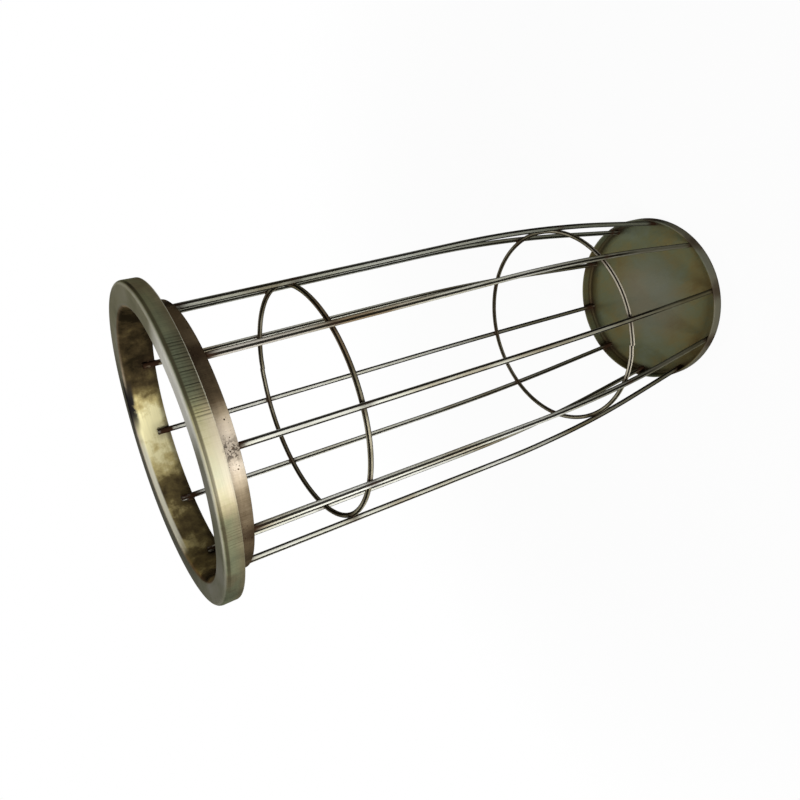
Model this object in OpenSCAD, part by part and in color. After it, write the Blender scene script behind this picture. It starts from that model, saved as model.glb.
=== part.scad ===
// Baghouse filter cage: a pressed collar, lengthwise wires, two support rings and a closing pan.
// The cage stands on its pan with the collar up, the origin at the middle of the pan's underside.

/* [Cage] */
// Height from the pan's underside to the collar's top face
cage_h = 392; // [360:1:440]
// Number of lengthwise wires, evenly spaced
wire_count = 10; // [8:1:12]

/* [Collar] */
// Diameter over the collar's turned-back skirt
collar_d = 174; // [168:1:190]
// Outside diameter of the neck that enters the tube sheet
neck_d = 148; // [144:0.5:152]
// Thickness of the collar's sheet
collar_t = 1.5; // [1:0.1:2]
// Depth of the skirt below the collar's top face
skirt_h = 9.5; // [7:0.5:12]
// Depth of the neck below the collar's top face
neck_h = 19.5; // [16:0.5:28]
// Outside radius of the bend between the top face and the skirt
rim_bend_r = 2.5; // [2:0.1:5]
// Outside radius of the bend between the top face and the neck
throat_bend_r = 4; // [2.5:0.1:5]

/* [Wires] */
// Diameter of the lengthwise wires
wire_d = 3.5; // [2.5:0.1:4]
// Distance of the wires' upper ends below the collar's top face
wire_end_drop = 12; // [10:0.5:14]
// Diameter of the circle on which the straight runs of the wires would cross at the knee
knee_d = 151.2; // [148:0.2:156]
// Distance of that knee below the collar's top face
knee_drop = 262; // [240:1:280]
// Radius of the long bend that rounds the knee
knee_bend_r = 1000; // [600:50:1200]
// Loss of diameter where the wire was stretched round the bend
bend_thinning = 0.04; // [0.02:0.01:0.1]
// Length by which the bent stretch reaches inside each straight run
bend_lap = 0.5; // [0.3:0.1:1]

/* [Rings] */
// Diameter of the rings' wire
ring_wire_d = 3; // [2:0.1:4]
// Distance of the upper ring below the collar's top face
upper_ring_drop = 85; // [60:1:110]
// Distance from the upper ring to the lower ring
ring_pitch = 200; // [160:1:230]
// Length of the upset bead at the rings' butt weld
bead_length = 4; // [2:0.5:6]
// Height of that bead above the ring's wire
bead_h = 0.25; // [0.1:0.05:0.5]

/* [Pan] */
// Outside diameter of the pan
pan_d = 128; // [120:1:134]
// Depth of the pan outside
pan_h = 10; // [8:0.5:16]
// Thickness of the pan's sheet
pan_t = 1.2; // [0.8:0.1:1.8]
// Outside radius of the bend between the pan's floor and wall
pan_bend_r = 3; // [2:0.1:4]

/* [Welds] */
// Depth to which the wires and the sheet are pressed into each other where a wire leaves the sheet
sheet_bite = 0.3; // [0.2:0.05:0.4]
// Depth to which the rings are pressed onto the wires
ring_bite = 0.4; // [0.2:0.05:0.6]

/* [Hidden] */
$fn = 48;
ring_facets = 180;
sheet_colour = [0.66, 0.64, 0.48];
pan_colour = [0.40, 0.40, 0.30];
wire_colour = [0.47, 0.46, 0.38];

// Sheet walls that the wires are welded to
neck_inner_r = neck_d / 2 - collar_t;
pan_inner_r = pan_d / 2 - pan_t;

// The wire's run in its own radial plane, as [radius, height] points.
// It passes the neck's lower edge and the pan's rim, each pressed into the sheet there.
neck_point = [neck_inner_r - wire_d / 2 + sheet_bite, cage_h - neck_h];
knee_point = [knee_d / 2, cage_h - knee_drop];
rim_point = [pan_inner_r - wire_d / 2 + sheet_bite, pan_h];

// Lean of the two straight runs away from the axis of the cage, in degrees
upper_lean = atan((knee_point[0] - neck_point[0]) / (neck_point[1] - knee_point[1]));
lower_lean = -atan((knee_point[0] - rim_point[0]) / (knee_point[1] - rim_point[1]));

// Centre of the long bend, and the points where it meets the straight runs
bend_mid = (upper_lean + lower_lean) / 2;
bend_half = (upper_lean - lower_lean) / 2;
bend_centre = knee_point - knee_bend_r / cos(bend_half) * toward(bend_mid);
bend_top = bend_centre + knee_bend_r * toward(upper_lean);
bend_foot = bend_centre + knee_bend_r * toward(lower_lean);

// Heights at which the wire ends, the lower one inside the thickness of the pan's floor
wire_top_z = cage_h - wire_end_drop;
wire_foot_z = pan_t / 2;

// Heights of the rings, and the places of their butt welds between two wires
upper_ring_z = cage_h - upper_ring_drop;
lower_ring_z = upper_ring_z - ring_pitch;
wire_step = 360 / wire_count;
upper_joint_angle = 1.5 * wire_step;
lower_joint_angle = 6.6 * wire_step;

function wire_name(i) = str("wire_", i < 10 ? "0" : "", i);

// Unit step from the bend's centre at an angle above the level
function toward(angle) = [cos(angle), sin(angle)];

// Distance of the wire's middle line from the cage's axis at a height
function wire_r(z) =
    z > bend_top[1] ? bend_top[0] - tan(upper_lean) * (z - bend_top[1]) :
    z < bend_foot[1] ? bend_foot[0] - tan(lower_lean) * (z - bend_foot[1]) :
    bend_centre[0] + sqrt(pow(knee_bend_r, 2) - pow(z - bend_centre[1], 2));

// Middle line of a ring that lies inside the wires at a height
function ring_r(z) = wire_r(z) - (wire_d + ring_wire_d) / 2 + ring_bite;

// Quarter bend of a sheet, its centre at the origin and its outer side towards side_x and side_y
module sheet_bend(outer_r, thickness, side_x, side_y) {
    difference() {
        intersection() {
            circle(r = outer_r);
            quarter_square(outer_r, side_x, side_y);
        }
        circle(r = outer_r - thickness);
    }
}

// Square that covers one quarter of a circle
module quarter_square(size, side_x, side_y) {
    translate([side_x < 0 ? -size : 0, side_y < 0 ? -size : 0])
        square(size);
}

// Wall of a sheet between two radii and two heights
module sheet_wall(inner_r, outer_r, low_z, high_z) {
    translate([inner_r, low_z])
        square([outer_r - inner_r, high_z - low_z]);
}

// Straight run of wire upward from a point in the radial plane
module straight_run(foot, lean, length) {
    translate([foot[0], 0, foot[1]])
        rotate([0, -lean, 0])
            cylinder(d = wire_d, h = length);
}

// The bent wire before it is welded, in the radial plane through +X
module bent_wire() {
    upper_length = (wire_top_z - bend_top[1]) / cos(upper_lean);
    lower_length = (bend_foot[1] - wire_foot_z) / cos(lower_lean);
    foot = bend_foot + lower_length * [sin(lower_lean), -cos(lower_lean)];
    lap_angle = bend_lap / knee_bend_r * 180 / PI;
    union() {
        straight_run(bend_top, upper_lean, upper_length);
        translate([bend_centre[0], 0, bend_centre[1]])
            rotate([90, 0, 0])
                rotate([0, 0, lower_lean - lap_angle])
                    rotate_extrude(angle = 2 * (bend_half + lap_angle), $fn = 720)
                        translate([knee_bend_r, 0])
                            circle(d = wire_d - bend_thinning, $fn = 48);
        straight_run(foot, lower_lean, lower_length);
    }
}

// Stretch of ring wire bent about the cage's axis
module ring_wire(radius, diameter, angle) {
    rotate_extrude(angle = angle, $fn = ring_facets)
        translate([radius, 0])
            circle(d = diameter);
}

// Support ring at a height, with a saddle pressed by every wire and a bead at its butt weld
module support_ring(height, joint_angle) {
    radius = ring_r(height);
    bead_angle = bead_length / radius * 180 / PI;
    color(wire_colour)
        difference() {
            translate([0, 0, height]) {
                ring_wire(radius, ring_wire_d, 360);
                rotate([0, 0, joint_angle - bead_angle / 2])
                    ring_wire(radius, ring_wire_d + 2 * bead_h, bead_angle);
            }
            for (i = [1:wire_count])
                rotate([0, 0, (i - 1) * wire_step])
                    bent_wire();
        }
}

module collar() {
    outer_r = collar_d / 2;
    color(sheet_colour)
        rotate_extrude($fn = ring_facets) {
            sheet_wall(neck_inner_r, neck_d / 2, cage_h - neck_h, cage_h - throat_bend_r);
            translate([neck_inner_r + throat_bend_r, cage_h - throat_bend_r])
                sheet_bend(throat_bend_r, collar_t, -1, 1);
            sheet_wall(neck_inner_r + throat_bend_r, outer_r - rim_bend_r, cage_h - collar_t, cage_h);
            translate([outer_r - rim_bend_r, cage_h - rim_bend_r])
                sheet_bend(rim_bend_r, collar_t, 1, 1);
            sheet_wall(outer_r - collar_t, outer_r, cage_h - skirt_h, cage_h - rim_bend_r);
        }
}

module upper_ring() {
    support_ring(upper_ring_z, upper_joint_angle);
}

module lower_ring() {
    support_ring(lower_ring_z, lower_joint_angle);
}

module pan() {
    outer_r = pan_d / 2;
    color(pan_colour)
        rotate_extrude($fn = ring_facets) {
            sheet_wall(0, outer_r - pan_bend_r, 0, pan_t);
            translate([outer_r - pan_bend_r, pan_bend_r])
                sheet_bend(pan_bend_r, pan_t, 1, -1);
            sheet_wall(pan_inner_r, outer_r, pan_bend_r, pan_h);
        }
}

// One lengthwise wire, flattened where it is pressed against the neck and into the pan
module wire(i) {
    color(wire_colour)
        difference() {
            rotate([0, 0, (i - 1) * wire_step])
                bent_wire();
            collar();
            pan();
        }
}

collar();
upper_ring();
lower_ring();
pan();
for (i = [1:wire_count])
    wire(i);
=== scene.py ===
import math
import random

import bmesh
import bpy
from mathutils import Matrix, Vector


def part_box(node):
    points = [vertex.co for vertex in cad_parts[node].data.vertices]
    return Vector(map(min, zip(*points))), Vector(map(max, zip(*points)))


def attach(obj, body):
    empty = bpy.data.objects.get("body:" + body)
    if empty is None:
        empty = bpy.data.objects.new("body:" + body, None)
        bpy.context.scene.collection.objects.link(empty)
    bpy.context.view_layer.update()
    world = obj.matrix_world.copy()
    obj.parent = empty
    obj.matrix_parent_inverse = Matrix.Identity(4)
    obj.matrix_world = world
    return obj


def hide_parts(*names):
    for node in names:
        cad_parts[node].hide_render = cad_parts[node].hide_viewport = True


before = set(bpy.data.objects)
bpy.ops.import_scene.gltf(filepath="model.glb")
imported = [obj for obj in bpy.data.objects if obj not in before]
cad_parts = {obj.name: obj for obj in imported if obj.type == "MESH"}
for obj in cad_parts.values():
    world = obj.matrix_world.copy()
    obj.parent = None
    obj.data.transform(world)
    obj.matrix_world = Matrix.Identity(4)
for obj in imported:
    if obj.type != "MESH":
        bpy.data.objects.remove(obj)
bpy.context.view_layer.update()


# Lengthwise wires: equal lengths of drawn steel wire, each bent once and spot welded inside the neck of
# the collar and inside the pan. They lean out from the neck, sweep round one long bend and run in to the
# pan. Their zinc is passivated yellow-green, with drawing lines along it and brown heat tint at the welds.
# Four dark lines along each wire are painted shade for its edges, and painted shade darkens its film towards
# the pan and on one side of the cage.
MM = 0.001
wire_names = sorted(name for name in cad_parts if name.startswith("wire_"))
wire_step = 2 * math.pi / len(wire_names)
wire_low, wire_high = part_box(wire_names[0])
wire_d = 3.5 * MM
wire_sides = 20
wire_rows = 110
wire_unevenness = 0.25 * MM
neck_point = Vector((71.05 * MM, 372.5 * MM))
knee_point = Vector((75.6 * MM, 130 * MM))
rim_point = Vector((61.35 * MM, 10 * MM))
knee_bend_r = 1.0
upper_ring_z = 307 * MM
lower_ring_z = 107 * MM
weld_heat_reach = 7 * MM
neck_heat_z = 364 * MM
pan_heat_z = 16 * MM
# Heights by the pan: the painted shade on wires and rings is full at the lower one, and on the near side the
# painted edge lines fade between the two.
by_pan_z = 96 * MM
pan_shade_z = 65 * MM
brown_foot_z = 200 * MM
# Edges of the painted dark edge lines along the wires and rings.
edge_shade_line_edges = (0.31, 0.42)
# A side is a direction about the axis, its full reach to both hands and the reach where it ends, in degrees.
near_highlight_side = (258.0, 28.0, 48.0)
brown_side = (288.0, 8.0, 22.0)
faint_edge_shade_side = (268.0, 44.0, 70.0)

upper_lean = math.atan2(knee_point[0] - neck_point[0], neck_point[1] - knee_point[1])
lower_lean = -math.atan2(knee_point[0] - rim_point[0], knee_point[1] - rim_point[1])
bend_mid = (upper_lean + lower_lean) / 2
bend_reach = knee_bend_r / math.cos((upper_lean - lower_lean) / 2)
bend_centre = knee_point - bend_reach * Vector((math.cos(bend_mid), math.sin(bend_mid)))
bend_top_z = bend_centre[1] + knee_bend_r * math.sin(upper_lean)
bend_foot_z = bend_centre[1] + knee_bend_r * math.sin(lower_lean)


def wire_radius(height):
    """Distance of a wire's middle line from the cage's axis at a height."""
    if height > bend_top_z:
        return neck_point[0] - math.tan(upper_lean) * (height - neck_point[1])
    if height < bend_foot_z:
        return rim_point[0] - math.tan(lower_lean) * (height - rim_point[1])
    return bend_centre[0] + math.sqrt(knee_bend_r ** 2 - (height - bend_centre[1]) ** 2)


def tone(red, green, blue):
    """Linear colour of a tone that is given as it looks on screen, each part from 0 to 255."""
    parts = [part / 255 for part in (red, green, blue)]
    linear = [p / 12.92 if p <= 0.04045 else ((p + 0.055) / 1.055) ** 2.4 for p in parts]
    return (*linear, 1.0)


def add_node(tree, kind, sockets=None, **settings):
    """Adds a node with its settings, and fills its sockets, by name or number, with values or links."""
    node = tree.nodes.new(kind)
    for setting, value in settings.items():
        setattr(node, setting, value)
    for key, value in (sockets or {}).items():
        if isinstance(value, bpy.types.NodeSocket):
            tree.links.new(value, node.inputs[key])
        else:
            node.inputs[key].default_value = value
    return node


def calc(tree, operation, *terms):
    """Output of a Math node on numbers or other outputs."""
    return add_node(tree, "ShaderNodeMath", dict(enumerate(terms)), operation=operation).outputs[0]


def product(tree, *terms):
    """Product of numbers or other outputs."""
    result = terms[0]
    for term in terms[1:]:
        result = calc(tree, "MULTIPLY", result, term)
    return result


def plus(tree, value, pattern, amount):
    """A value with some amount of a pattern added to it."""
    return calc(tree, "MULTIPLY_ADD", pattern, amount, value)


def step_length(tree, first, second):
    """Length of a step of two parts at right angles to each other."""
    squares = [calc(tree, "POWER", part, 2.0) for part in (first, second)]
    return calc(tree, "SQRT", calc(tree, "ADD", *squares))


def vector_calc(tree, operation, *terms):
    """Vector that a Vector Math node makes of vectors or other outputs."""
    return add_node(tree, "ShaderNodeVectorMath", dict(enumerate(terms)), operation=operation).outputs[0]


def scaled_vector(tree, vector, scale):
    """A vector times a number."""
    return add_node(tree, "ShaderNodeVectorMath", {0: vector, "Scale": scale}, operation="SCALE").outputs[0]


def vector_of(tree, x, y, z):
    """Vector of three outputs or numbers."""
    return add_node(tree, "ShaderNodeCombineXYZ", {0: x, 1: y, 2: z}).outputs[0]


def fade(tree, value, start, end):
    """0 at start and 1 at end, with a soft step between them."""
    sockets = {"Value": value, "From Min": start, "From Max": end}
    return add_node(tree, "ShaderNodeMapRange", sockets, interpolation_type="SMOOTHSTEP").outputs[0]


def noise(tree, vector, scale, detail=3.0, rough=0.55):
    """Cloudy pattern between 0 and 1 with about scale patches to each unit of the vector."""
    sockets = {"Vector": vector, "Scale": scale, "Detail": detail, "Roughness": rough}
    return add_node(tree, "ShaderNodeTexNoise", sockets, noise_dimensions="3D").outputs[0]


def ramp(tree, factor, stops):
    """Colour that runs through stops of (place, colour) as the factor grows."""
    node = add_node(tree, "ShaderNodeValToRGB", {"Fac": factor})
    elements = node.color_ramp.elements
    while len(elements) < len(stops):
        elements.new(1.0)
    for element, (place, colour) in zip(elements, stops):
        element.position = place
        element.color = colour
    return node.outputs[0]


def mixed(tree, share, first, second, blend="MIX"):
    """Two colours mixed by a share of the second."""
    sockets = {0: share, 6: first, 7: second}
    return add_node(tree, "ShaderNodeMix", sockets, data_type="RGBA", blend_type=blend).outputs[2]


def tinted(tree, film, colour, *shares):
    """Film with a colour laid over it by the product of some shares."""
    return mixed(tree, product(tree, *shares), film, colour)


def about_axis(tree):
    """Object point, and its angle about the cage's axis, distance from that axis and height."""
    point = add_node(tree, "ShaderNodeTexCoord").outputs["Object"]
    across, deep, height = add_node(tree, "ShaderNodeSeparateXYZ", {0: point}).outputs
    angle = calc(tree, "ARCTAN2", deep, across)
    return point, angle, step_length(tree, across, deep), height


def drawn_out(tree, parts, scales):
    """Vector of three outputs, each times its own scale, for a pattern that is drawn out in one direction."""
    scaled = [product(tree, part, scale) for part, scale in zip(parts, scales)]
    return vector_of(tree, *scaled)


def zinc(name, metallic, edge_tint):
    """Material with one shader for zinc under its film. edge_tint is its gloss at a glancing angle."""
    material = bpy.data.materials.new(name)
    material.use_nodes = True
    shader = material.node_tree.nodes["Principled BSDF"]
    shader.inputs["Metallic"].default_value = metallic
    shader.inputs["Specular IOR Level"].default_value = 0.0
    shader.inputs["Specular Tint"].default_value = edge_tint
    return material, material.node_tree, shader


def finish_zinc(tree, shader, colour, rough, relief, depth):
    """Links colour and roughness, and a relief of a given depth in metres as bump."""
    bump = add_node(tree, "ShaderNodeBump", {"Height": relief, "Strength": 1.0, "Distance": depth})
    tree.links.new(colour, shader.inputs["Base Color"])
    tree.links.new(rough, shader.inputs["Roughness"])
    tree.links.new(bump.outputs[0], shader.inputs["Normal"])


def lobe(tree, angle, degrees, inner, outer):
    """1 within inner degrees of a direction and 0 beyond outer degrees, about the cage's axis."""
    facing = calc(tree, "COSINE", calc(tree, "SUBTRACT", angle, math.radians(degrees)))
    return fade(tree, facing, math.cos(math.radians(outer)), math.cos(math.radians(inner)))


def from_wires(tree, angle, radius, height):
    """Distance round the cage to the nearest wire."""
    share = calc(tree, "WRAP", calc(tree, "DIVIDE", angle, wire_step), 0.5, -0.5)
    return product(tree, calc(tree, "ABSOLUTE", share), wire_step, radius)


def from_rings(tree, angle, radius, height):
    """Height above or below the nearest ring."""
    return calc(tree, "MINIMUM",
                calc(tree, "ABSOLUTE", calc(tree, "SUBTRACT", height, upper_ring_z)),
                calc(tree, "ABSOLUTE", calc(tree, "SUBTRACT", height, lower_ring_z)))


def edge_shade_lines(tree, point):
    """1 on four dark lines along a wire, midway between its outer and inner faces and its flanks, and 0
    elsewhere. They are painted shade that stands for the dark edges of a round wire, and lie the same on
    every wire and ring."""
    middle = add_node(tree, "ShaderNodeAttribute", attribute_name="middle").outputs["Vector"]
    outward = vector_calc(tree, "NORMALIZE", vector_calc(tree, "MULTIPLY", middle, (1.0, 1.0, 0.0)))
    facing = vector_calc(tree, "NORMALIZE", vector_calc(tree, "SUBTRACT", point, middle))
    sockets = {0: outward, 1: facing}
    out = add_node(tree, "ShaderNodeVectorMath", sockets, operation="DOT_PRODUCT").outputs["Value"]
    aside = calc(tree, "SQRT", calc(tree, "SUBTRACT", 1.0, calc(tree, "POWER", out, 2.0)))
    half_way = product(tree, calc(tree, "ABSOLUTE", out), aside)
    return fade(tree, half_way, *edge_shade_line_edges)


def drawn_zinc(name, line_scales, to_weld, shade_top, painted_highlight, shaded_side, shade_tone, stops):
    """Finish of drawn wire, given the scales of its drawing lines in angle, radius and height, a rule for the
    distance to the nearest spot weld, the height from which a painted shade darkens the film towards the pan,
    the share of a painted highlight of pale zinc on the near side, a side painted in a shade tone of its own,
    that tone, and stops for the film."""
    material, tree, shader = zinc(name, metallic=0.12, edge_tint=tone(26, 22, 16))
    point, angle, radius, height = about_axis(tree)
    lines = noise(tree, drawn_out(tree, (angle, radius, height), line_scales), 1.0, detail=4.0)
    clouds = noise(tree, vector_calc(tree, "MULTIPLY", point, (1.0, 1.0, 0.4)), 30.0, detail=5.0, rough=0.6)
    film = ramp(tree, clouds, stops)
    film = tinted(tree, film, tone(88, 78, 57), fade(tree, lines, 0.46, 0.64), 0.32)
    # Painted shade: the film darkens down towards the pan.
    film = tinted(tree, film, tone(80, 76, 54), fade(tree, height, shade_top, pan_shade_z), 0.92)
    low_down = fade(tree, height, 0.8 * upper_ring_z, by_pan_z)
    # Painted highlight: pale zinc on the near side, low down, which only the lower ring takes.
    film = tinted(tree, film, tone(226, 216, 196), lobe(tree, angle, *near_highlight_side), low_down, painted_highlight)
    high_up = fade(tree, height, brown_foot_z, upper_ring_z)
    film = tinted(tree, film, tone(120, 92, 66), lobe(tree, angle, *brown_side), high_up, 0.45)
    # Painted shade: one side of the cage in a darker tone of its own.
    film = tinted(tree, film, shade_tone, lobe(tree, angle, *shaded_side), 0.5)
    by_pan = fade(tree, height, by_pan_z, pan_shade_z)
    faint_edge_shade = product(tree, by_pan, lobe(tree, angle, *faint_edge_shade_side))
    # Painted shade: four dark lines along each wire and ring stand for its dark edges; they are fainter by
    # the pan on the near side.
    film = tinted(tree, film, tone(20, 17, 12), edge_shade_lines(tree, point), plus(tree, 0.97, faint_edge_shade, -0.62))
    heat = product(tree, fade(tree, to_weld(tree, angle, radius, height), weld_heat_reach, 0.0), 0.55)
    heat = calc(tree, "MAXIMUM", heat, fade(tree, height, neck_heat_z, neck_point[1]))
    heat = calc(tree, "MAXIMUM", heat, fade(tree, height, pan_heat_z, 0.5 * pan_heat_z))
    film = tinted(tree, film, tone(58, 40, 28), heat, fade(tree, noise(tree, point, 160.0), 0.24, 0.52))
    finish_zinc(tree, shader, film, plus(tree, 0.22, lines, 0.25), lines, 0.06 * MM)
    return material


def start_tree(name, sizes):
    """Node tree with a geometry input and a named input of a given kind for each size."""
    tree = bpy.data.node_groups.new(name, "GeometryNodeTree")
    tree.is_modifier = True
    tree.interface.new_socket("Geometry", in_out="INPUT", socket_type="NodeSocketGeometry")
    tree.interface.new_socket("Geometry", in_out="OUTPUT", socket_type="NodeSocketGeometry")
    for size, kind in sizes.items():
        tree.interface.new_socket(size, in_out="INPUT", socket_type="NodeSocket" + kind)
    return tree, add_node(tree, "NodeGroupInput").outputs


def end_tree(tree, geometry, finish):
    """Ends a tree: instances made real, smooth faces, one material."""
    smooth = add_node(tree, "GeometryNodeSetShadeSmooth", {"Geometry": geometry})
    real = add_node(tree, "GeometryNodeRealizeInstances", {"Geometry": smooth.outputs[0]})
    painted = add_node(tree, "GeometryNodeSetMaterial", {"Geometry": real.outputs[0], "Material": finish})
    add_node(tree, "NodeGroupOutput", {0: painted.outputs[0]})


def new_piece(name, mesh):
    """Object of that name at the origin, in the scene."""
    piece = bpy.data.objects.new(name, mesh)
    bpy.context.scene.collection.objects.link(piece)
    return piece


def start_mesh(points, edges=()):
    """Mesh of bare points and edges for a tree to work on."""
    mesh = bpy.data.meshes.new("start")
    mesh.from_pydata(points, edges, [])
    return mesh


def grown_piece(name, mesh, tree, sizes):
    """Runs a tree on a mesh, with its inputs set by identifier, and keeps the outcome as a plain mesh."""
    start = new_piece(name + ".start", mesh)
    modifier = start.modifiers.new(tree.name, "NODES")
    modifier.node_group = tree
    for socket in tree.interface.items_tree:
        if socket.in_out == "INPUT" and socket.name in sizes:
            modifier[socket.identifier] = sizes[socket.name]
    evaluated = start.evaluated_get(bpy.context.evaluated_depsgraph_get())
    grown = bpy.data.meshes.new_from_object(evaluated)
    start.modifiers.remove(modifier)
    bpy.data.objects.remove(start)
    grown.name = name
    return new_piece(name, grown)


def uneven(tree, geometry, amount, scale, seed):
    """Moves points by a smooth pattern of a given size, so that no two lengths come out the same."""
    place = add_node(tree, "GeometryNodeInputPosition").outputs[0]
    sockets = {"Vector": place, "W": seed, "Scale": scale, "Detail": 1.0}
    pattern = add_node(tree, "ShaderNodeTexNoise", sockets, noise_dimensions="4D").outputs[1]
    shift = scaled_vector(tree, vector_calc(tree, "SUBTRACT", pattern, (0.5, 0.5, 0.5)), amount)
    return add_node(tree, "GeometryNodeSetPosition", {"Geometry": geometry, "Offset": shift}).outputs[0]


def swept(tree, line, diameter, sides):
    """Round wire along a line, with closed ends. Its points keep their place on that line as an attribute."""
    place = add_node(tree, "GeometryNodeInputPosition").outputs[0]
    sockets = {"Geometry": line, "Name": "middle", "Value": place}
    line = add_node(tree, "GeometryNodeStoreNamedAttribute", sockets, data_type="FLOAT_VECTOR").outputs[0]
    radius = calc(tree, "DIVIDE", diameter, 2.0)
    outline = add_node(tree, "GeometryNodeCurvePrimitiveCircle", {"Resolution": sides, "Radius": radius})
    sockets = {"Curve": line, "Profile Curve": outline.outputs[0], "Fill Caps": True}
    return add_node(tree, "GeometryNodeCurveToMesh", sockets).outputs[0]


wire_finish = drawn_zinc(
    "wire_zinc",
    line_scales=(84.0, 1100.0, 14.0),
    to_weld=from_rings,
    shade_top=270 * MM,
    painted_highlight=0.0,
    # The top side of the wires, at 342 degrees, in a painted shade tone.
    shaded_side=(342.0, 24.0, 58.0),
    shade_tone=tone(112, 117, 103),
    stops=[
        (0.34, tone(166, 152, 124)),
        (0.48, tone(226, 225, 207)),
        (0.60, tone(250, 250, 240)),
        (0.74, tone(220, 224, 210)),
    ],
)
tree, given = start_tree("Wires round the axis", {
    "Wire diameter": "Float",
    "Wire count": "Int",
    "Sides": "Int",
    "Unevenness": "Float",
    "Finish": "Material",
})
run = add_node(tree, "GeometryNodeMeshToCurve", {"Mesh": given["Geometry"]}).outputs[0]
places = add_node(tree, "GeometryNodePoints", {"Count": given["Wire count"]}).outputs[0]
wire_turn = calc(tree, "DIVIDE", 2 * math.pi, given["Wire count"])
turn = product(tree, add_node(tree, "GeometryNodeInputIndex").outputs[0], wire_turn)
turned = add_node(tree, "FunctionNodeEulerToRotation", {0: vector_of(tree, 0.0, 0.0, turn)}).outputs[0]
around = add_node(tree, "GeometryNodeInstanceOnPoints",
                  {"Points": places, "Instance": run, "Rotation": turned}).outputs[0]
single = add_node(tree, "GeometryNodeRealizeInstances", {"Geometry": around}).outputs[0]
single = uneven(tree, single, given["Unevenness"], scale=16.0, seed=3.0)
end_tree(tree, swept(tree, single, given["Wire diameter"], given["Sides"]), given["Finish"])

run_heights = [wire_low.z + (wire_high.z - wire_low.z) * row / wire_rows for row in range(wire_rows + 1)]
run_points = [(wire_radius(height), 0.0, height) for height in run_heights]
run_edges = [(row, row + 1) for row in range(wire_rows)]
cage_wires = grown_piece("cage_wires", start_mesh(run_points, run_edges), tree, {
    "Wire diameter": wire_d,
    "Wire count": len(wire_names),
    "Sides": wire_sides,
    "Unevenness": wire_unevenness,
    "Finish": wire_finish,
})
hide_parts(*wire_names)
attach(cage_wires, "root")


# Support rings: two lengths of thinner drawn wire, bent to circles, butt welded, and pressed against the
# insides of the wires by spot welding. The two ends at the butt weld don't quite line up.
ring_wire_d = 3 * MM
ring_bite = 0.4 * MM
ring_steps = 420
ring_sides = 18
ring_finish = drawn_zinc(
    "ring_zinc",
    line_scales=(2.0, 1300.0, 1300.0),
    to_weld=from_wires,
    shade_top=by_pan_z,
    # Share of the painted highlight on the near side.
    painted_highlight=0.55,
    # The far side of the rings, in a painted shade tone.
    shaded_side=(80.0, 60.0, 120.0),
    shade_tone=tone(66, 58, 44),
    stops=[
        (0.34, tone(86, 76, 58)),
        (0.48, tone(124, 118, 96)),
        (0.60, tone(168, 161, 138)),
        (0.74, tone(198, 191, 169)),
    ],
)
ring_places = {
    "upper_ring": (upper_ring_z, 1.5 * wire_step),
    "lower_ring": (lower_ring_z, 6.6 * wire_step),
}
end_step = 0.45 * MM
end_reach = 9 * MM
bead_h = 0.3 * MM
bead_reach = 2.2 * MM


def ring_radius(height):
    """Middle line of a ring that is pressed against the insides of the wires."""
    return wire_radius(height) - (wire_d + ring_wire_d) / 2 + ring_bite


tree, given = start_tree("Butt welded ring", {
    "Ring radius": "Float",
    "Ring height": "Float",
    "Joint angle": "Float",
    "Wire diameter": "Float",
    "Steps": "Int",
    "Sides": "Int",
    "End step": "Float",
    "End reach": "Float",
    "Bead height": "Float",
    "Bead reach": "Float",
    "Unevenness": "Float",
    "Finish": "Material",
})
bow = add_node(tree, "GeometryNodeCurveArc", {
    "Resolution": given["Steps"],
    "Radius": given["Ring radius"],
    "Start Angle": given["Joint angle"],
    "Sweep Angle": 2 * math.pi,
}).outputs[0]
along = add_node(tree, "GeometryNodeSplineParameter").outputs["Length"]
way_round = product(tree, given["Ring radius"], 2 * math.pi)
left = calc(tree, "SUBTRACT", way_round, along)
first_end = fade(tree, along, given["End reach"], 0.0)
last_end = fade(tree, left, given["End reach"], 0.0)
step_out = product(tree, calc(tree, "SUBTRACT", first_end, last_end), given["End step"])
outward = vector_calc(tree, "NORMALIZE", add_node(tree, "GeometryNodeInputPosition").outputs[0])
lift = vector_of(tree, 0.0, 0.0, given["Ring height"])
shift = vector_calc(tree, "ADD", scaled_vector(tree, outward, step_out), lift)
bow = add_node(tree, "GeometryNodeSetPosition", {"Geometry": bow, "Offset": shift}).outputs[0]
bow = uneven(tree, bow, given["Unevenness"], scale=22.0, seed=8.0)
near_joint = fade(tree, calc(tree, "MINIMUM", along, left), given["Bead reach"], 0.0)
half_wire = calc(tree, "DIVIDE", given["Wire diameter"], 2.0)
swell = plus(tree, 1.0, near_joint, calc(tree, "DIVIDE", given["Bead height"], half_wire))
bow = add_node(tree, "GeometryNodeSetCurveRadius", {"Curve": bow, "Radius": swell}).outputs[0]
end_tree(tree, swept(tree, bow, given["Wire diameter"], given["Sides"]), given["Finish"])

for ring_name, (ring_z, joint_angle) in ring_places.items():
    ring = grown_piece(ring_name + "_wire", start_mesh([]), tree, {
        "Ring radius": ring_radius(ring_z),
        "Ring height": ring_z,
        "Joint angle": joint_angle,
        "Wire diameter": ring_wire_d,
        "Steps": ring_steps,
        "Sides": ring_sides,
        "End step": end_step,
        "End reach": end_reach,
        "Bead height": bead_h,
        "Bead reach": bead_reach,
        "Unevenness": wire_unevenness,
        "Finish": ring_finish,
    })
    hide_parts(ring_name)
    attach(ring, "root")


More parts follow.
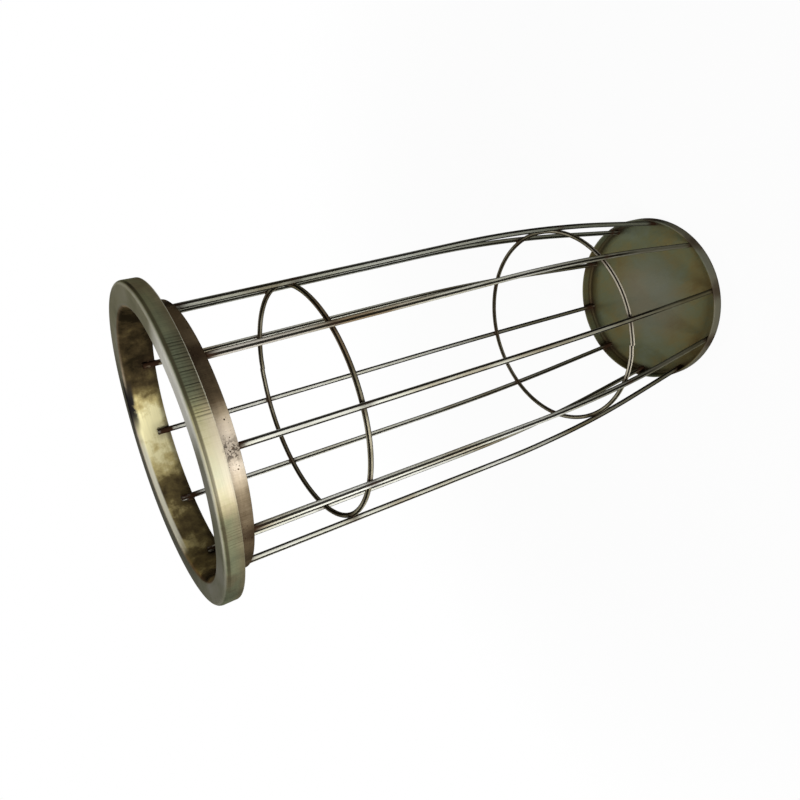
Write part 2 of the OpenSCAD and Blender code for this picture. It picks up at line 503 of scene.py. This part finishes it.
# Collar: one pressing of sheet steel. Its flat face carries a skirt turned down at the outer edge and a
# longer neck turned down at the inner edge. The press left shallow ridges across part of the skirt, and
# the passivated film runs from dark olive through pale green and straw to pink.
collar_low, collar_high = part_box("collar")
collar_r = collar_high.x
collar_top = collar_high.z
neck_z = collar_low.z
collar_t = 1.5 * MM
skirt_z = collar_top - 9.5 * MM
neck_inner_r = 72.5 * MM
neck_outer_r = neck_inner_r + collar_t
rim_bend_r = 2.5 * MM
throat_bend_r = 4 * MM
edge_round = 0.3 * MM
edge_steps = 3
face_rows = 4
skirt_rows = 7
neck_rows = 5
coarse_step = 0.6
fine_step = 0.14
ridge_pitch = 1.05
ridge_h = 0.20 * MM
ridge_sectors = [(261.0, 293.0, 1.0), (221.0, 234.0, 0.5)]
sector_fade = 5.0
burn_degrees = 252.0
burn_z = neck_z + 4 * MM
# Sides on which the film differs; on several of them light and shade are painted into it. The skirt is ridged
# at the front, at about 270 degrees.
film_sides = {
    "olive": (318.0, 14.0, 28.0),
    "pale_front_and_light": (252.5, 2.0, 20.0),
    "pale_back": (75.0, 14.0, 50.0),
    "yellow": (223.0, 5.0, 18.0),
    "dusky_and_shade": (188.0, 16.0, 38.0),
    "ridged": (288.0, 8.0, 20.0),
    "brown_neck": (280.0, 6.0, 18.0),
    "dark_face": (92.0, 36.0, 75.0),
    "face_highlight": (276.0, 6.0, 25.0),
    "gold_and_sheen": (71.0, 4.0, 29.0),
    "dull_gold": (135.0, 18.0, 38.0),
    "cut_edge_highlight": (298.0, 16.0, 40.0),
    "dark_rim": (270.0, 50.0, 75.0),
    "lip_dark_reflection": (56.0, 1.0, 15.0),
    "lip_highlight": (104.0, 18.0, 36.0),
}


def bend_points(centre_r, centre_z, radius, start, end, steps=7):
    """Points of a bend in the section, from one angle in degrees to another."""
    angles = [math.radians(start + (end - start) * step / steps) for step in range(steps + 1)]
    return [(centre_r + radius * math.cos(a), centre_z + radius * math.sin(a)) for a in angles]


def wall_points(start, end, rows):
    """Points strictly between the two ends of a straight wall in the section."""
    shares = [row / (rows + 1) for row in range(1, rows + 1)]
    return [tuple(a + (b - a) * share for a, b in zip(start, end)) for share in shares]


def soft_step(value, start, end):
    """0 at start and 1 at end, with a soft step between them."""
    share = min(max((value - start) / (end - start), 0.0), 1.0)
    return share * share * (3 - 2 * share)


def sector_share(degrees, start, end):
    """1 inside a sector of the collar, fading to 0 at its ends."""
    return soft_step(degrees, start, start + sector_fade) * soft_step(degrees, end, end - sector_fade)


def collar_section():
    """Closed outline of the sheet, up the throat, over the face and down the skirt, and back below."""
    rim = (collar_r - rim_bend_r, collar_top - rim_bend_r)
    throat = (neck_inner_r + throat_bend_r, collar_top - throat_bend_r)
    outer = bend_points(*throat, throat_bend_r, 180, 90)
    outer += wall_points((throat[0], collar_top), (rim[0], collar_top), face_rows)
    outer += bend_points(*rim, rim_bend_r, 90, 0)
    edge_z = skirt_z + edge_round
    skirt_edge = bend_points(collar_r - edge_round, edge_z, edge_round, 0, -90, edge_steps)
    skirt_edge += bend_points(collar_r - collar_t + edge_round, edge_z, edge_round, -90, -180, edge_steps)
    inner = bend_points(*rim, rim_bend_r - collar_t, 0, 90)
    inner += bend_points(*throat, throat_bend_r - collar_t, 90, 180)
    edge_z = neck_z + edge_round
    neck_edge = bend_points(neck_outer_r - edge_round, edge_z, edge_round, 0, -90, edge_steps)
    neck_edge += bend_points(neck_inner_r + edge_round, edge_z, edge_round, -90, -180, edge_steps)
    section = outer + wall_points(outer[-1], skirt_edge[0], skirt_rows) + skirt_edge
    section += wall_points(skirt_edge[-1], inner[0], skirt_rows) + inner
    section += wall_points(inner[-1], neck_edge[0], neck_rows) + neck_edge
    return section + wall_points(neck_edge[-1], outer[0], neck_rows)


def skirt_share(radius, height):
    """1 on the skirt, fading to 0 through the bend above it."""
    out_there = soft_step(radius, collar_r - rim_bend_r, collar_r - collar_t)
    return out_there * soft_step(height, collar_top - 0.6 * rim_bend_r, collar_top - 1.4 * rim_bend_r)


def groove(degrees, radius, height):
    """Depth, from 0 to 1, of the grooves between the ridges that the press left across the skirt. Their
    spacing and depth wander a little."""
    ridged = sum(strength * sector_share(degrees, start, end) for start, end, strength in ridge_sectors)
    turn = math.pi * (degrees + 0.16 * math.sin(1.7 * degrees)) / ridge_pitch
    depth = 0.6 + 0.4 * math.sin(2.3 * degrees) * math.sin(0.9 * degrees)
    return depth * ridged * skirt_share(radius, height) * math.cos(turn) ** 6


def no_groove(degrees, radius, height):
    """Depth of grooves on a piece that has none."""
    return 0.0


def pressed(degrees, radius, height):
    """Where the press left a point of the collar: a little out of round, and ridged across the skirt."""
    turn = math.radians(degrees)
    round_error = 0.10 * MM * math.sin(3 * turn + 0.6) + 0.06 * MM * math.sin(7 * turn + 2.1)
    on_skirt = skirt_share(radius, height)
    edge_wave = 0.14 * MM * math.sin(5 * turn + 1.3) * soft_step(height, collar_top - 2 * MM, skirt_z)
    face_wave = 0.10 * MM * math.sin(4 * turn + 0.4) * soft_step(height, collar_top - 2 * MM, collar_top)
    lift = edge_wave * on_skirt + face_wave
    return radius + round_error - ridge_h * groove(degrees, radius, height), height + lift


def collar_angles():
    """Angles in degrees round the collar, close together where the skirt is ridged."""
    angles = []
    degrees = 0.0
    while degrees < 360 - fine_step:
        angles.append(degrees)
        ridged = any(start <= degrees <= end for start, end, strength in ridge_sectors)
        degrees += fine_step if ridged else coarse_step
    return angles


def turned_mesh(name, section, angles, place, groove_shade_rule, material):
    """Mesh of a closed section turned about the cage's axis, each point moved by the rule in place. The
    groove depth by the second rule is kept as an attribute of the points, for painted shade in the grooves."""
    points = []
    depths = []
    for degrees in angles:
        turn = math.radians(degrees)
        for radius, height in section:
            new_radius, new_height = place(degrees, radius, height)
            points.append((new_radius * math.cos(turn), new_radius * math.sin(turn), new_height))
            depths.append(groove_shade_rule(degrees, radius, height))
    rows = len(section)
    faces = []
    for column in range(len(angles)):
        here = column * rows
        after = (column + 1) % len(angles) * rows
        for row in range(rows):
            following = (row + 1) % rows
            faces.append((here + row, after + row, after + following, here + following))
    mesh = bpy.data.meshes.new(name)
    mesh.from_pydata(points, [], faces)
    mesh.attributes.new("groove", "FLOAT", "POINT").data.foreach_set("value", depths)
    shape = bmesh.new()
    shape.from_mesh(mesh)
    bmesh.ops.remove_doubles(shape, verts=shape.verts, dist=1e-6)
    bmesh.ops.recalc_face_normals(shape, faces=shape.faces)
    for face in shape.faces:
        face.smooth = True
    shape.to_mesh(mesh)
    shape.free()
    mesh.materials.append(material)
    return mesh


def collar_zinc():
    """Passivated film of the collar, in its own tones on skirt, face, neck and throat."""
    material, tree, shader = zinc("collar_zinc", metallic=0.22, edge_tint=tone(120, 112, 88))
    point, angle, radius, height = about_axis(tree)
    below = calc(tree, "SUBTRACT", collar_top, height)
    sides = {side: lobe(tree, angle, *reach) for side, reach in film_sides.items()}
    bare_zinc_and_highlight = tone(226, 222, 200)
    clouds = noise(tree, point, 34.0, detail=5.0)
    mottles = noise(tree, point, 110.0, detail=5.0, rough=0.65)
    rubs = noise(tree, drawn_out(tree, (angle, radius, height), (3.0, 900.0, 900.0)), 1.0, detail=4.0)
    hairs = noise(tree, drawn_out(tree, (angle, radius, height), (260.0, 60.0, 60.0)), 1.0, detail=3.0)
    cloudy, mottled, hairy = [calc(tree, "SUBTRACT", part, 0.5) for part in (clouds, mottles, hairs)]

    # Skirt and neck, which run from olive and brown to pale green and pink as the film blooms. The pale front
    # and the dusky side are partly painted light and shade.
    pale_film_and_light = plus(tree, sides["pale_front_and_light"], sides["pale_back"], 0.7)
    bloom = plus(tree, 0.38, sides["olive"], 0.07)
    bloom = plus(tree, bloom, pale_film_and_light, 0.45)
    bloom = plus(tree, bloom, sides["dusky_and_shade"], -0.10)
    bloom = plus(tree, bloom, sides["yellow"], 0.06)
    bloom = plus(tree, bloom, sides["ridged"], -0.06)
    bloom = plus(tree, bloom, cloudy, 0.42)
    bloom = plus(tree, bloom, mottled, 0.20)
    bloom = plus(tree, bloom, hairy, 0.16)
    skirt_film = ramp(tree, bloom, [
        (0.12, tone(74, 77, 60)),
        (0.32, tone(104, 108, 86)),
        (0.48, tone(140, 140, 108)),
        (0.64, tone(178, 172, 128)),
        (0.80, tone(212, 204, 168)),
        (0.96, tone(208, 210, 182)),
    ])
    neck_film = ramp(tree, plus(tree, bloom, sides["brown_neck"], -0.05), [
        (0.20, tone(70, 59, 44)),
        (0.40, tone(114, 98, 76)),
        (0.58, tone(176, 159, 132)),
        (0.70, tone(216, 199, 172)),
        (0.86, tone(240, 225, 204)),
    ])
    flush = product(tree, fade(tree, noise(tree, point, 52.0, detail=4.0), 0.48, 0.66), 0.55)
    at_edge = product(tree, fade(tree, height, skirt_z + 6 * MM, skirt_z), 0.6)
    skirt_film = mixed(tree, calc(tree, "MAXIMUM", flush, at_edge), skirt_film, neck_film)
    in_groove = add_node(tree, "ShaderNodeAttribute", attribute_name="groove").outputs["Fac"]
    # Painted shade: the skirt is darker in the grooves between the pressed ridges.
    skirt_film = tinted(tree, skirt_film, tone(36, 32, 24), in_groove, 0.95)

    # Face, grey-green, with a darker side and a painted highlight on its near side.
    face_film = ramp(tree, plus(tree, product(tree, clouds, 0.7), rubs, 0.3), [
        (0.32, tone(108, 109, 90)),
        (0.50, tone(132, 131, 115)),
        (0.68, tone(148, 146, 136)),
    ])
    face_film = tinted(tree, face_film, tone(76, 75, 66), sides["dark_face"], 0.6)
    face_film = tinted(tree, face_film, tone(232, 231, 224), sides["face_highlight"], 0.85)

    # Inside of the throat, dark brown with patches of gold, which on the far side are partly a painted lit
    # patch and sheen.
    gold_and_sheen = plus(tree, calc(tree, "SUBTRACT", clouds, 0.26), sides["gold_and_sheen"], 0.60)
    gold_and_sheen = plus(tree, gold_and_sheen, sides["dull_gold"], 0.24)
    throat_film = ramp(tree, plus(tree, gold_and_sheen, mottled, 0.85), [
        (0.16, tone(44, 37, 24)),
        (0.34, tone(78, 66, 44)),
        (0.52, tone(116, 102, 66)),
        (0.72, tone(198, 182, 126)),
        (0.88, tone(238, 229, 180)),
    ])

    # The four films, each in its place.
    on_skirt = fade(tree, radius, neck_inner_r + 0.9 * throat_bend_r, collar_r - 1.1 * rim_bend_r)
    film = mixed(tree, on_skirt, neck_film, skirt_film)
    film = mixed(tree, fade(tree, height, collar_top - 0.9 * MM, collar_top - 0.2 * MM), film, face_film)
    in_throat = product(
        tree,
        fade(tree, radius, neck_inner_r + 0.6 * throat_bend_r, neck_inner_r + 0.5 * MM),
        fade(tree, radius, neck_inner_r + 1.2 * collar_t, neck_inner_r + 0.6 * collar_t),
    )
    film = mixed(tree, in_throat, film, throat_film)
    throat_foot = fade(tree, height, neck_z + 4 * MM, neck_z + 1 * MM)
    film = tinted(tree, film, tone(50, 40, 28), in_throat, throat_foot, 0.6)

    # Edges: bare zinc along the cut, brighter on one side as a painted highlight, a painted highlight along
    # the rim's bend, and a painted dark reflection in the bend below it.
    cut_edge = product(
        tree,
        fade(tree, height, skirt_z + 0.6 * MM, skirt_z + 0.3 * MM),
        fade(tree, radius, collar_r - 1.2 * collar_t, collar_r - collar_t),
    )
    film = tinted(tree, film, bare_zinc_and_highlight, cut_edge, plus(tree, 0.1, sides["cut_edge_highlight"], 0.6))
    on_rim = fade(tree, radius, collar_r - rim_bend_r, collar_r - 0.4 * rim_bend_r)
    painted_highlight = product(tree, fade(tree, below, 0.0, 0.2 * MM), fade(tree, below, 1.1 * MM, 0.5 * MM), on_rim)
    film = tinted(tree, film, bare_zinc_and_highlight, painted_highlight, calc(tree, "SUBTRACT", 1.0, sides["dusky_and_shade"]), clouds)
    # Painted dark reflection: a dark line in the rim's bend, on the front side.
    dark = product(tree, fade(tree, below, 0.9 * MM, 1.4 * MM), fade(tree, below, 2.9 * MM, 2.1 * MM), on_rim)
    film = tinted(tree, film, tone(58, 50, 34), dark, sides["dark_rim"], 0.75)

    # Lip of the throat, with a painted dark reflection on one side and a painted highlight of pale zinc on
    # another.
    lip_dark_reflection = product(
        tree,
        fade(tree, radius, neck_inner_r + 1.5 * throat_bend_r, neck_inner_r + throat_bend_r),
        fade(tree, below, 4.6 * MM, 2.8 * MM),
        fade(tree, mottles, 0.25, 0.45),
    )
    film = tinted(tree, film, tone(42, 40, 40), lip_dark_reflection, sides["lip_dark_reflection"])
    on_lip = product(
        tree,
        fade(tree, below, 0.4 * MM, 1.0 * MM),
        fade(tree, below, 3.6 * MM, 2.4 * MM),
        fade(tree, radius, neck_inner_r + throat_bend_r, neck_inner_r + 2.4 * MM),
    )
    film = tinted(tree, film, bare_zinc_and_highlight, on_lip, sides["lip_highlight"])

    # Brown stains round the welds, a burnt spot beside one of them, and rubs all round.
    reach = plus(tree, from_wires(tree, angle, radius, height), noise(tree, point, 240.0), 5 * MM)
    stain = product(
        tree,
        fade(tree, reach, 11 * MM, 3.5 * MM),
        fade(tree, height, collar_top - 6 * MM, neck_z + 3 * MM),
        fade(tree, radius, neck_inner_r + 2.6 * MM, neck_inner_r + 1.9 * MM),
    )
    film = tinted(tree, film, tone(52, 38, 28), stain, plus(tree, 0.70, pale_film_and_light, -0.30))
    burn_turn = product(tree, calc(tree, "SUBTRACT", angle, math.radians(burn_degrees - 360)), radius)
    burn_rise = calc(tree, "SUBTRACT", height, burn_z)
    from_burn = plus(tree, step_length(tree, burn_turn, burn_rise), mottles, 9 * MM)
    flecks = fade(tree, noise(tree, point, 700.0), 0.46, 0.56)
    film = tinted(tree, film, tone(44, 33, 24), fade(tree, from_burn, 13 * MM, 6 * MM), flecks, 0.8)
    film = mixed(tree, product(tree, rubs, 0.3), film, tone(92, 88, 70), blend="MULTIPLY")
    rough = plus(tree, plus(tree, 0.26, clouds, 0.14), rubs, 0.22)
    finish_zinc(tree, shader, film, rough, calc(tree, "ADD", rubs, hairs), 0.05 * MM)
    return material


collar = new_piece("pressed_collar", turned_mesh(
    "pressed_collar", collar_section(), collar_angles(), pressed, groove, collar_zinc()))
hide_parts("collar")
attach(collar, "root")


# Pan: one shallow pressing of thinner sheet that closes the foot of the cage, its wall outside the wires.
# Its olive film is dull, with a greyer middle, yellow-brown patches and dark stains round the welds.
pan_low, pan_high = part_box("pan")
pan_r = pan_high.x
pan_floor = pan_low.z
pan_rim = pan_high.z
pan_t = 1.2 * MM
pan_bend_r = 3 * MM
pan_angle_step = 1.0
floor_rows = 26
pan_wall_rows = 4


def pan_section():
    """Closed outline of the pan's sheet from the middle of its inside round its rim to its underside."""
    bend = (pan_r - pan_bend_r, pan_floor + pan_bend_r)
    inside = [(0.0, pan_floor + pan_t)]
    inside += wall_points(inside[0], (bend[0], pan_floor + pan_t), floor_rows)
    inside += bend_points(*bend, pan_bend_r - pan_t, -90, 0)
    edge_z = pan_rim - edge_round
    rim = bend_points(pan_r - pan_t + edge_round, edge_z, edge_round, 180, 90, edge_steps)
    rim += bend_points(pan_r - edge_round, edge_z, edge_round, 90, 0, edge_steps)
    under = bend_points(*bend, pan_bend_r, 0, -90)
    section = inside + wall_points(inside[-1], rim[0], pan_wall_rows) + rim
    section += wall_points(rim[-1], under[0], pan_wall_rows) + under
    section += wall_points(under[-1], (0.0, pan_floor), floor_rows)
    return section + [(0.0, pan_floor)]


def sprung(degrees, radius, height):
    """Where the press left a point of the pan: its floor springs up a little, and its wall is uneven."""
    turn = math.radians(degrees)
    share = radius / pan_r
    dome = 0.35 * MM * (1 - share ** 2) ** 2
    twist = 0.10 * MM * share * (1 - share ** 4) * (1 + math.sin(2 * turn + 0.7))
    on_floor = soft_step(share, 0.97, 0.9)
    on_wall = soft_step(height, pan_floor + pan_t, pan_rim)
    round_error = 0.12 * MM * on_wall * (math.sin(3 * turn + 1.9) + 0.6 * math.sin(5 * turn))
    return radius + round_error, height + (dome + twist) * on_floor


def pan_zinc():
    """Dull passivated film of the pan."""
    material, tree, shader = zinc("pan_zinc", metallic=0.25, edge_tint=tone(110, 104, 84))
    point, angle, radius, height = about_axis(tree)
    clouds = noise(tree, point, 26.0, detail=5.0, rough=0.6)
    grain = noise(tree, vector_calc(tree, "MULTIPLY", point, (700.0, 45.0, 700.0)), 1.0, detail=4.0)
    film = ramp(tree, plus(tree, product(tree, clouds, 0.86), grain, 0.14), [
        (0.34, tone(92, 78, 47)),
        (0.45, tone(100, 92, 60)),
        (0.55, tone(93, 95, 70)),
        (0.68, tone(97, 102, 84)),
    ])
    in_middle = fade(tree, radius, 0.75 * pan_r, 0.15 * pan_r)
    film = tinted(tree, film, tone(112, 111, 99), in_middle, 0.6)
    # Painted shade: the film is darker in the inner corner between floor and wall.
    in_corner = product(
        tree,
        fade(tree, radius, pan_r - 2 * pan_bend_r, pan_r - pan_bend_r),
        fade(tree, height, pan_floor + 1.6 * pan_bend_r, pan_floor + pan_bend_r),
    )
    film = tinted(tree, film, tone(58, 47, 32), in_corner, 0.7)
    on_wall = fade(tree, radius, pan_r - 0.7 * pan_t, pan_r - 0.3 * pan_t)
    film = tinted(tree, film, tone(112, 110, 98), on_wall, 0.7)
    reach = plus(tree, from_wires(tree, angle, radius, height), noise(tree, point, 200.0), 8 * MM)
    by_wall = fade(tree, radius, pan_r - 9 * MM, pan_r - 2 * MM)
    film = tinted(tree, film, tone(58, 42, 32), fade(tree, reach, 15 * MM, 5 * MM), by_wall, 0.7)
    rough = plus(tree, plus(tree, 0.3, clouds, 0.15), grain, 0.2)
    finish_zinc(tree, shader, film, rough, grain, 0.05 * MM)
    return material


pan_angles = [pan_angle_step * step for step in range(int(360 / pan_angle_step))]
pan = new_piece("pressed_pan", turned_mesh(
    "pressed_pan", pan_section(), pan_angles, sprung, no_groove, pan_zinc()))
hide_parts("pan")
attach(pan, "root")


# Weld nuggets: steel squeezed out where the rings, the neck and the pan were spot welded to the wires. Each
# is a small flat lump, burnt dark, in the corner between the two pieces.
nugget_seed = 11
nugget_roughness = 0.9 * MM
lump_spread = (0.75, 1.2)
sheet_bite = 0.3 * MM
# Slot, size of a lump and seats, as radius and height, of each set.
nugget_sets = {
    "ring_welds": ("ring_wire", (3.0 * MM, 3.4 * MM, 1.5 * MM), [
        (wire_radius(z) - wire_d / 2 + ring_bite / 2, z) for z in (lower_ring_z, upper_ring_z)]),
    "neck_welds": ("collar_sheet", (4.6 * MM, 6.0 * MM, 1.3 * MM), [
        (neck_inner_r - sheet_bite / 2, neck_z + 2.2 * MM)]),
    "pan_welds": ("pan_sheet", (4.6 * MM, 5.0 * MM, 1.3 * MM), [
        (pan_r - pan_t - sheet_bite / 2, pan_rim - 2.4 * MM)]),
}


def weld_scale():
    """Burnt steel of the welds, with soot and rust."""
    material, tree, shader = zinc("weld_scale", metallic=0.35, edge_tint=tone(90, 80, 66))
    point = add_node(tree, "ShaderNodeTexCoord").outputs["Object"]
    crust = noise(tree, point, 520.0, detail=4.0)
    film = ramp(tree, crust, [
        (0.34, tone(34, 27, 21)),
        (0.52, tone(62, 46, 34)),
        (0.70, tone(104, 84, 62)),
    ])
    finish_zinc(tree, shader, film, plus(tree, 0.35, crust, 0.3), crust, 0.12 * MM)
    return material


tree, given = start_tree("Lumps on a wall", {
    "Lump size": "Vector",
    "Seed": "Int",
    "Roughness": "Float",
    "Finish": "Material",
})
place = add_node(tree, "GeometryNodeInputPosition").outputs[0]
outward = vector_calc(tree, "MULTIPLY", place, (1.0, 1.0, 0.0))
facing = add_node(tree, "FunctionNodeAlignRotationToVector", {"Vector": outward}, axis="Z").outputs[0]
upright = add_node(tree, "FunctionNodeAlignRotationToVector", {
    "Rotation": facing,
    "Vector": (0.0, 0.0, 1.0),
}, axis="Y", pivot_axis="Z").outputs[0]
spread = add_node(tree, "FunctionNodeRandomValue", {
    0: 3 * lump_spread[:1],
    1: 3 * lump_spread[1:],
    "Seed": given["Seed"],
}, data_type="FLOAT_VECTOR").outputs[0]
grown_size = vector_calc(tree, "MULTIPLY", given["Lump size"], spread)
lump = add_node(tree, "GeometryNodeMeshIcoSphere", {"Radius": 0.5, "Subdivisions": 3}).outputs[0]
lumps = add_node(tree, "GeometryNodeInstanceOnPoints", {
    "Points": given["Geometry"],
    "Instance": lump,
    "Rotation": upright,
    "Scale": grown_size,
}).outputs[0]
lumps = add_node(tree, "GeometryNodeRealizeInstances", {"Geometry": lumps}).outputs[0]
end_tree(tree, uneven(tree, lumps, given["Roughness"], scale=420.0, seed=5.0), given["Finish"])

weld_finish = weld_scale()
for set_name, (slot_name, lump_size, seats) in nugget_sets.items():
    spots = [(radius * math.cos(number * wire_step), radius * math.sin(number * wire_step), height)
             for radius, height in seats for number in range(len(wire_names))]
    welds = grown_piece(set_name, start_mesh(spots), tree, {
        "Lump size": lump_size,
        "Seed": nugget_seed,
        "Roughness": nugget_roughness,
        "Finish": weld_finish,
    })
    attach(welds, "root")


# Spatter: droplets of steel that flew from the spot welds and froze on the outside of the neck, thickest
# beside the one wire where the neck is burnt.
spatter_seed = 23
spatter_roughness = 0.2 * MM
spatter_reach = 7 * MM
spatter_band = (neck_z + 0.8 * MM, skirt_z - 1.5 * MM)
# Size of a drop, and how many lie beside a wire and beside the burnt spot.
spatter_sets = {
    "fine_spatter": ((0.5 * MM, 0.5 * MM, 0.3 * MM), 9, 46),
    "coarse_spatter": ((1.0 * MM, 0.9 * MM, 0.5 * MM), 2, 10),
}
chance = random.Random(spatter_seed)
for set_name, (drop_size, few, many) in spatter_sets.items():
    drops = []
    for number in range(len(wire_names)):
        burnt = number == round(math.radians(burn_degrees) / wire_step)
        for drop in range(many if burnt else few):
            turn = number * wire_step + chance.gauss(0.0, spatter_reach) / collar_r
            drop_z = chance.uniform(*spatter_band)
            drops.append((neck_outer_r * math.cos(turn), neck_outer_r * math.sin(turn), drop_z))
    spatter = grown_piece(set_name, start_mesh(drops), tree, {
        "Lump size": drop_size,
        "Seed": spatter_seed,
        "Roughness": spatter_roughness,
        "Finish": weld_finish,
    })
    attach(spatter, "root")


# Studio: a pale floor under the pan, white surroundings, and three plain soft lamps. The main lamp stands
# low behind the camera, to one side, so that skirt and neck are lit from the front and the faces are grazed.
floor_reach = 3.0
shadow_share = 0.05
shadow_fade = (0.2, 0.7)
# Direction in degrees, distance, height, side and power of each lamp.
lamp_places = {
    "main_lamp": (224.0, 0.95, 0.56, 0.36, 9.5),
    "fill_lamp": (60.0, 0.95, 0.95, 0.50, 4.0),
    "back_lamp": (335.0, 1.20, 0.70, 0.50, 1.6),
}
lamp_target = Vector((0.0, 0.0, 0.24))
room_light = (0.08, 0.08, 0.08, 1.0)


def seen_directly(tree):
    """1 for rays that show the surroundings to the camera, straight, in metal or through glass."""
    rays = add_node(tree, "ShaderNodeLightPath").outputs
    shown = calc(tree, "MAXIMUM", rays["Is Camera Ray"], rays["Is Glossy Ray"])
    return calc(tree, "MAXIMUM", shown, rays["Is Transmission Ray"])


def floor_paint():
    """Matt white floor that stays white to the camera and still takes the shadow."""
    material = bpy.data.materials.new("floor_paint")
    material.use_nodes = True
    tree = material.node_tree
    tree.nodes.remove(tree.nodes["Principled BSDF"])
    direct = seen_directly(tree)
    paint = mixed(tree, direct, (0.22, 0.22, 0.22, 1.0), (0.8, 0.8, 0.8, 1.0))
    matt = add_node(tree, "ShaderNodeBsdfDiffuse", {"Color": paint})
    glow = add_node(tree, "ShaderNodeEmission", {"Color": (1.0, 1.0, 1.0, 1.0), "Strength": 1.0})
    point = add_node(tree, "ShaderNodeTexCoord").outputs["Object"]
    away = add_node(tree, "ShaderNodeVectorMath", {0: point}, operation="LENGTH").outputs["Value"]
    white = plus(tree, 1.0 - shadow_share, fade(tree, away, *shadow_fade), shadow_share)
    share = product(tree, direct, white)
    both = add_node(tree, "ShaderNodeMixShader", {0: share, 1: matt.outputs[0], 2: glow.outputs[0]})
    tree.links.new(both.outputs[0], tree.nodes["Material Output"].inputs["Surface"])
    return material


floor_corners = [(-floor_reach, -floor_reach, 0.0), (floor_reach, -floor_reach, 0.0),
                 (floor_reach, floor_reach, 0.0), (-floor_reach, floor_reach, 0.0)]
floor_mesh = bpy.data.meshes.new("floor")
floor_mesh.from_pydata(floor_corners, [], [(0, 1, 2, 3)])
floor_mesh.materials.append(floor_paint())
new_piece("floor", floor_mesh)

room = bpy.data.worlds.new("room")
room.use_nodes = True
room_tree = room.node_tree
room_tree.nodes.remove(room_tree.nodes["Background"])
soft_room = add_node(room_tree, "ShaderNodeBackground", {"Color": room_light, "Strength": 1.0})
white_room = add_node(room_tree, "ShaderNodeBackground", {"Color": (1.0, 1.0, 1.0, 1.0), "Strength": 1.0})
room_mix = add_node(room_tree, "ShaderNodeMixShader", {
    0: seen_directly(room_tree),
    1: soft_room.outputs[0],
    2: white_room.outputs[0],
})
room_tree.links.new(room_mix.outputs[0], room_tree.nodes["World Output"].inputs["Surface"])
bpy.context.scene.world = room
bpy.context.scene.view_settings.view_transform = "Standard"

for lamp_name, (degrees, distance, height, side, power) in lamp_places.items():
    lamp_data = bpy.data.lights.new(lamp_name, "AREA")
    lamp_data.size = side
    lamp_data.energy = power
    lamp = bpy.data.objects.new(lamp_name, lamp_data)
    turn = math.radians(degrees)
    lamp.location = (distance * math.cos(turn), distance * math.sin(turn), height)
    lamp.rotation_euler = (lamp_target - lamp.location).to_track_quat("-Z", "Y").to_euler()
    bpy.context.scene.collection.objects.link(lamp)


# Camera: it stands a little higher than the collar and looks down the cage towards the pan, rolled on its
# side, so that the upright cage lies across the picture.
camera_place = Vector((-0.06661, -0.36534, 0.45054))
camera_forward = Vector((0.12494, 0.85454, -0.50412)).normalized()
camera_up = Vector((0.91870, -0.29152, -0.26647))
camera_data = bpy.data.cameras.new("camera")
camera_data.sensor_width = 36
camera_data.lens = 30.306
camera_data.shift_x = -0.0236
camera_data.shift_y = -0.0125
camera = bpy.data.objects.new("camera", camera_data)
camera_right = camera_forward.cross(camera_up).normalized()
camera_up = camera_right.cross(camera_forward)
camera_turn = Matrix((camera_right, camera_up, -camera_forward)).transposed().to_4x4()
camera.matrix_world = Matrix.Translation(camera_place) @ camera_turn
bpy.context.scene.collection.objects.link(camera)
bpy.context.scene.camera = camera
